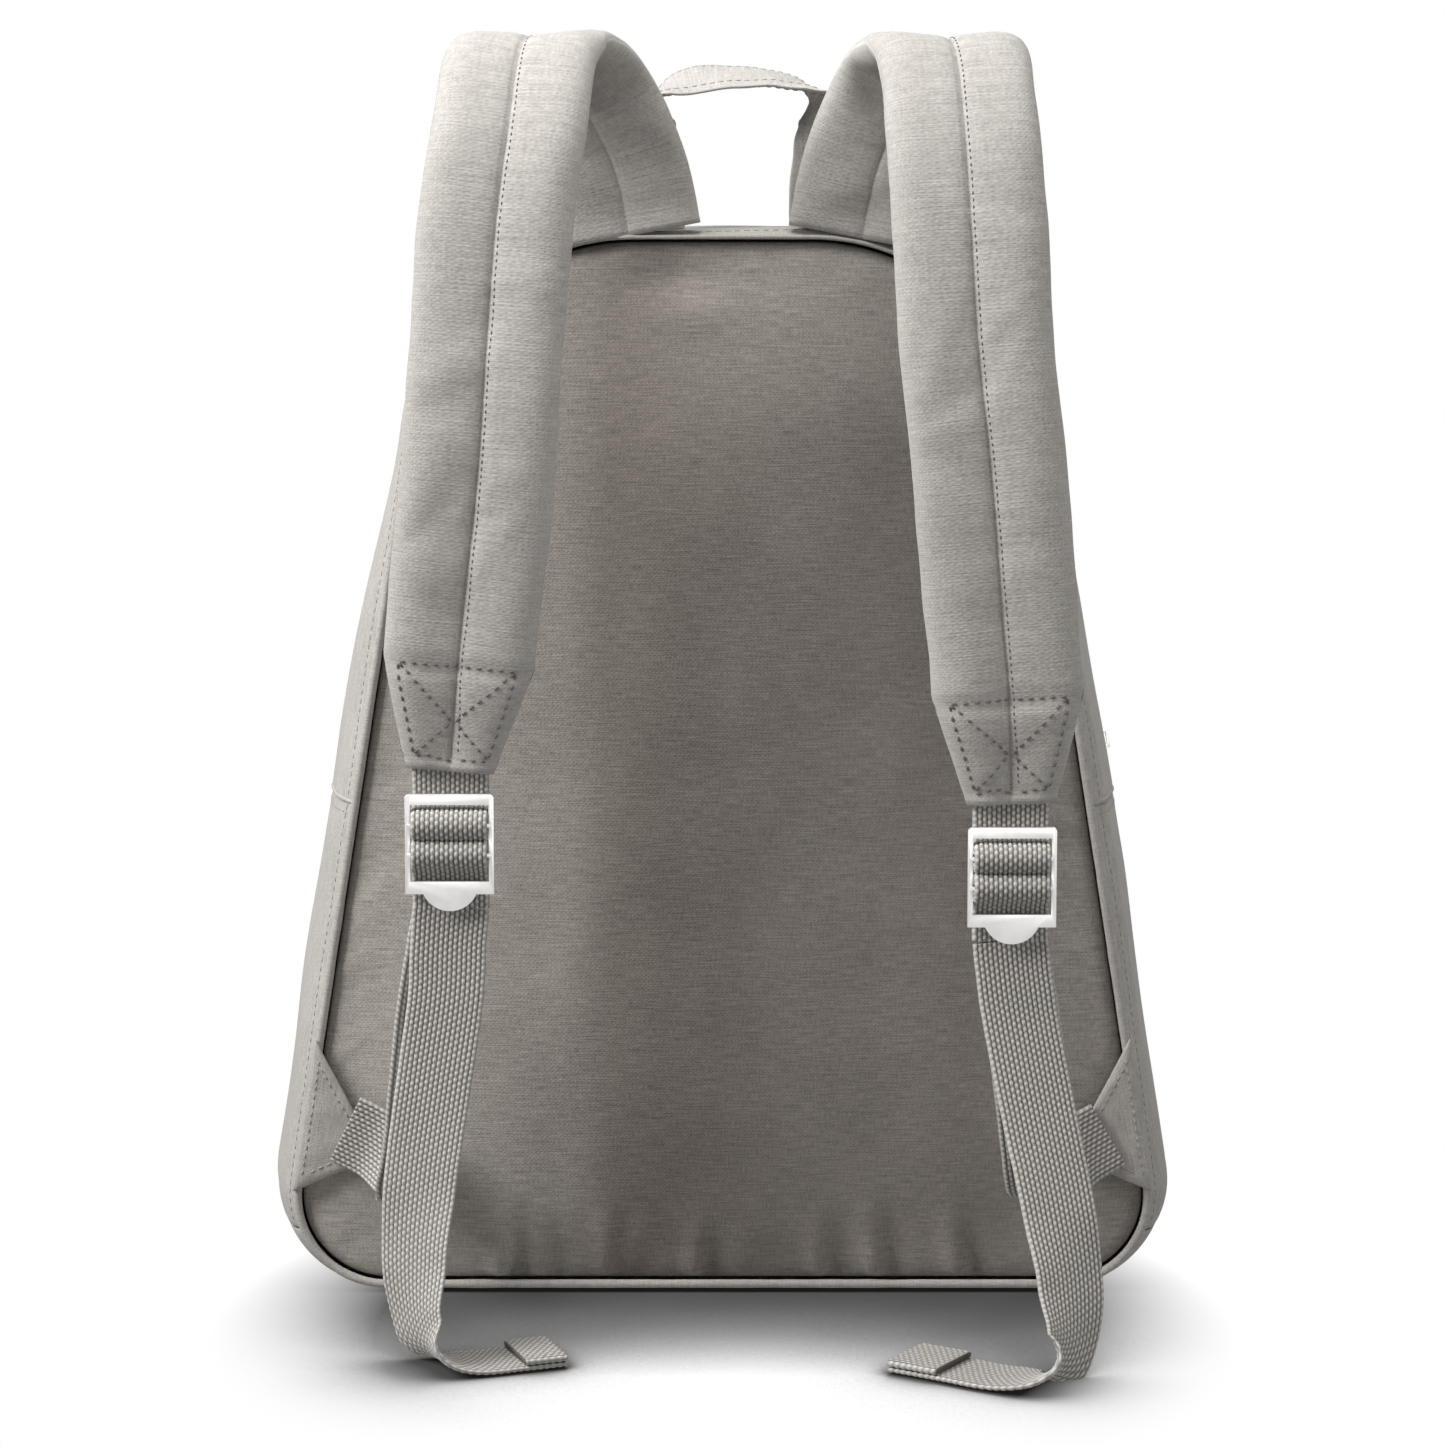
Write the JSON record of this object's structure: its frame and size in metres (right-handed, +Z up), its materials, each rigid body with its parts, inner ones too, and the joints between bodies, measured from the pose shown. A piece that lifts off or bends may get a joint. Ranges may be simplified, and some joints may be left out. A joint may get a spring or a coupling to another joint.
{
  "type": "daypack",
  "caption": "Fabric daypack with padded shoulder straps, metal strap buckles, webbing free ends, a haul loop, a zipped front flap and a front pocket.",
  "frame": {"origin": "on the floor, under the middle of the base", "axes": "+Z up; -Y is the back panel's side, where the shoulder straps are; +Y is the front pocket's side; +X is right as seen from the strap side, and nodes named left are on -X"},
  "size_m": [0.3172, 0.2696, 0.4305],
  "materials": {
    "canvas": "slubby cotton canvas, warm light grey",
    "webbing": "thick cotton webbing, basket weave",
    "lining": "plain cotton lining",
    "foam": "soft closed-cell padding",
    "stiffener": "thin polyethylene sheet",
    "zip_tape": "woven zip tape",
    "zip_coil": "nylon coil",
    "buckle_metal": "satin nickel-coloured steel",
    "zip_metal": "satin nickel-coloured die casting"
  },
  "bodies": {
    "pack": {"back_panel": "canvas", "back_foam": "foam", "back_lining": "lining", "back_welt": "canvas", "base_panel": "canvas", "base_stiffener": "stiffener", "side_gusset_left": "canvas", "side_gusset_right": "canvas", "zip_gusset_rear": "canvas", "zip_tape_rear": "zip_tape", "zip_coil_rear": "zip_coil", "zip_end_left": "zip_tape", "zip_end_right": "zip_tape", "front_panel_lower": "canvas", "pocket_gusset": "canvas", "pocket_panel": "canvas", "pocket_top_strip": "canvas", "pocket_zip_tape": "zip_tape", "pocket_zip_coil": "zip_coil", "inner_sleeve": "lining", "wing_tab_left": "canvas", "anchor_webbing_left": "webbing", "wing_tab_right": "canvas", "anchor_webbing_right": "webbing"},
    "flap": {"front_panel_upper": "canvas", "zip_gusset_front": "canvas", "zip_tape_front": "zip_tape", "zip_coil_front": "zip_coil"},
    "main_slider": {"main_zip_slider": "zip_metal"},
    "main_pull": {"main_zip_pull": "zip_metal"},
    "pocket_slider": {"pocket_zip_slider": "zip_metal"},
    "pocket_pull": {"pocket_zip_pull": "zip_metal"},
    "haul": {"haul_loop": "canvas"},
    "strap_left": {"strap_cover_left": "canvas", "strap_foam_left": "foam", "keeper_webbing_left": "webbing"},
    "buckle_left": {"buckle_frame_left": "buckle_metal", "adjuster_wrap_left": "webbing"},
    "tail_left": {"webbing_tail_left": "webbing", "tail_hem_left": "webbing"},
    "strap_right": {"strap_cover_right": "canvas", "strap_foam_right": "foam", "keeper_webbing_right": "webbing"},
    "buckle_right": {"buckle_frame_right": "buckle_metal", "adjuster_wrap_right": "webbing"},
    "tail_right": {"webbing_tail_right": "webbing", "tail_hem_right": "webbing"}
  },
  "joints": [
    {"name": "strap_swing_left", "type": "hinge", "parent": "pack", "child": "strap_left", "pos_m": [-0.032, -0.0535, 0.3696], "axis": [-1, 0, 0], "range_deg": [0, 12]},
    {"name": "strap_swing_right", "type": "hinge", "parent": "pack", "child": "strap_right", "pos_m": [0.047, -0.0535, 0.3688], "axis": [-1, 0, 0], "range_deg": [0, 12]},
    {"name": "buckle_tilt_left", "type": "hinge", "parent": "strap_left", "child": "buckle_left", "pos_m": [-0.089, -0.1308, 0.1766], "axis": [-1, 0, 0], "range_deg": [0, 15]},
    {"name": "buckle_tilt_right", "type": "hinge", "parent": "strap_right", "child": "buckle_right", "pos_m": [0.0945, -0.1308, 0.1656], "axis": [-1, 0, 0], "range_deg": [0, 15]},
    {"name": "tail_swing_left", "type": "hinge", "parent": "buckle_left", "child": "tail_left", "pos_m": [-0.089, -0.1287, 0.1477], "axis": [-1, 0, 0], "range_deg": [0, 60]},
    {"name": "tail_swing_right", "type": "hinge", "parent": "buckle_right", "child": "tail_right", "pos_m": [0.0945, -0.1287, 0.1367], "axis": [-1, 0, 0], "range_deg": [0, 60]},
    {"name": "haul_fold", "type": "hinge", "parent": "pack", "child": "haul", "pos_m": [0.006, -0.0351, 0.3703], "axis": [-1, 0, 0], "range_deg": [0, 60]},
    {"name": "flap_open", "type": "hinge", "parent": "pack", "child": "flap", "pos_m": [0, 0.061, 0.172], "axis": [-1, 0, 0], "range_deg": [0, 95]},
    {"name": "main_zip_run", "type": "slide", "parent": "pack", "child": "main_slider", "axis": [-0.158, 0, 0.9874], "range_m": [0, 0.095]},
    {"name": "main_pull_lift", "type": "hinge", "parent": "main_slider", "child": "main_pull", "pos_m": [0.13853, 0.01464, 0.18597], "axis": [0, -1, 0], "range_deg": [0, 170]},
    {"name": "pocket_zip_run", "type": "slide", "parent": "pack", "child": "pocket_slider", "axis": [-1, 0, 0], "range_m": [0, 0.165]},
    {"name": "pocket_pull_lift", "type": "hinge", "parent": "pocket_slider", "child": "pocket_pull", "pos_m": [0.0861, 0.08475, 0.132], "axis": [0, 0, -1], "range_deg": [0, 170]}
  ]
}
